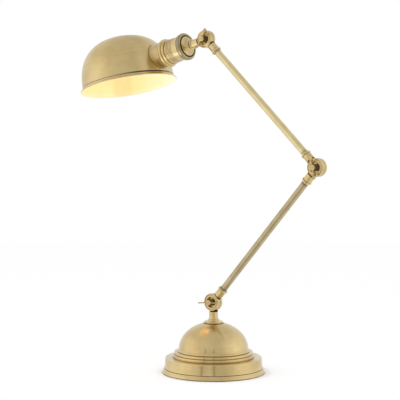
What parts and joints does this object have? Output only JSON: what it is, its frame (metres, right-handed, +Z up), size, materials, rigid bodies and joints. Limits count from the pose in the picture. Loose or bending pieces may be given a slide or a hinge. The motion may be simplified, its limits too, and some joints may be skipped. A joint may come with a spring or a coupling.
{
  "type": "desk lamp",
  "caption": "Antique brass desk lamp with a stepped domed foot, a two-part arm on thumb-screwed knuckles and a dome shade on a side-fixed lampholder.",
  "frame": {"origin": "centre of the underside of the felt under the round foot, on the axis of the base", "axes": "+Z up, the arms lie in the XZ plane at rest with the elbow towards +X and the shade towards -X, thumb screws towards -Y, cord entry towards +Y"},
  "size_m": [0.5165, 0.1816, 0.6012],
  "materials": {
    "base_brass": "antique satin",
    "turned_brass": "antique satin",
    "thumb_brass": "antique satin",
    "lower_tube_brass": "antique satin",
    "upper_tube_brass": "antique satin",
    "holder_brass": "antique satin",
    "cap_ring_brass": "antique satin",
    "shade_brass": "antique satin",
    "contact_brass": "bright",
    "ballast_iron": "rough",
    "plate_steel": "matt black",
    "fixing_steel": "satin",
    "felt": "felt",
    "bushing_rubber": "matt",
    "flex_sheath": "matt",
    "fibre": "matt",
    "porcelain": "glazed",
    "bulb_aluminium": "satin",
    "bulb_glass": "frosted",
    "liner_enamel": "semi-gloss enamel"
  },
  "bodies": {
    "base": {"base_shell": "base_brass", "base_ballast": "ballast_iron", "base_plate": "plate_steel", "base_screws": "fixing_steel", "felt_pad": "felt", "cord_bushing": "bushing_rubber", "base_flex": "flex_sheath", "swivel_plate": "turned_brass", "swivel_stop_pin": "fixing_steel"},
    "neck": {"swivel_ring": "turned_brass", "neck_nipple": "fixing_steel", "neck_washer": "fixing_steel", "neck_lock_nut": "fixing_steel", "neck_post": "turned_brass", "base_friction_washer": "fibre"},
    "base_thumb": {"base_thumb_screw": "thumb_brass"},
    "lower_arm": {"lower_arm_bottom_knuckle": "turned_brass", "lower_arm_tube": "lower_tube_brass", "lower_arm_top_knuckle": "turned_brass", "lower_arm_flex": "flex_sheath", "lower_arm_spring_washer": "fixing_steel", "elbow_friction_washer": "fibre"},
    "elbow_thumb": {"elbow_thumb_screw": "thumb_brass"},
    "upper_arm": {"upper_arm_bottom_knuckle": "turned_brass", "upper_arm_tube": "upper_tube_brass", "upper_arm_top_knuckle": "turned_brass", "upper_arm_flex": "flex_sheath", "upper_arm_spring_washer": "fixing_steel", "head_friction_washer": "fibre"},
    "head_thumb": {"head_thumb_screw": "thumb_brass"},
    "head": {"head_knuckle": "turned_brass", "head_spring_washer": "fixing_steel", "head_nipple": "turned_brass", "holder_end_cap": "holder_brass", "holder_cap_ring": "cap_ring_brass", "holder_sleeve": "holder_brass", "shade_ring": "holder_brass", "fitter_collar": "holder_brass", "holder_insert": "porcelain", "thread_shell": "contact_brass", "centre_contact": "contact_brass", "terminal_screws": "contact_brass", "bulb_cap": "bulb_aluminium", "bulb_glass": "bulb_glass", "shade": "shade_brass", "shade_liner": "liner_enamel"}
  },
  "joints": [
    {"name": "neck_swivel", "type": "hinge", "parent": "base", "child": "neck", "pos_m": [0, 0, 0.0886], "axis": [0, 0, 1], "range_deg": [-170, 170]},
    {"name": "base_knuckle", "type": "hinge", "parent": "neck", "child": "lower_arm", "pos_m": [0, 0, 0.12371], "axis": [0, -1, 0], "range_deg": [-45, 45]},
    {"name": "elbow_knuckle", "type": "hinge", "parent": "lower_arm", "child": "upper_arm", "pos_m": [0.21454, 0, 0.36114], "axis": [0, -1, 0], "range_deg": [-88, 30]},
    {"name": "head_knuckle", "type": "hinge", "parent": "upper_arm", "child": "head", "pos_m": [-0.01604, 0, 0.58303], "axis": [0, -1, 0], "range_deg": [-90, 60]},
    {"name": "base_thumb_turn", "type": "hinge", "parent": "neck", "child": "base_thumb", "pos_m": [0, 0, 0.12371], "axis": [0, -1, 0], "range_deg": [0, 180]},
    {"name": "elbow_thumb_turn", "type": "hinge", "parent": "lower_arm", "child": "elbow_thumb", "pos_m": [0.21454, 0, 0.36114], "axis": [0, -1, 0], "range_deg": [0, 180]},
    {"name": "head_thumb_turn", "type": "hinge", "parent": "upper_arm", "child": "head_thumb", "pos_m": [-0.01604, 0, 0.58303], "axis": [0, -1, 0], "range_deg": [0, 180]}
  ]
}
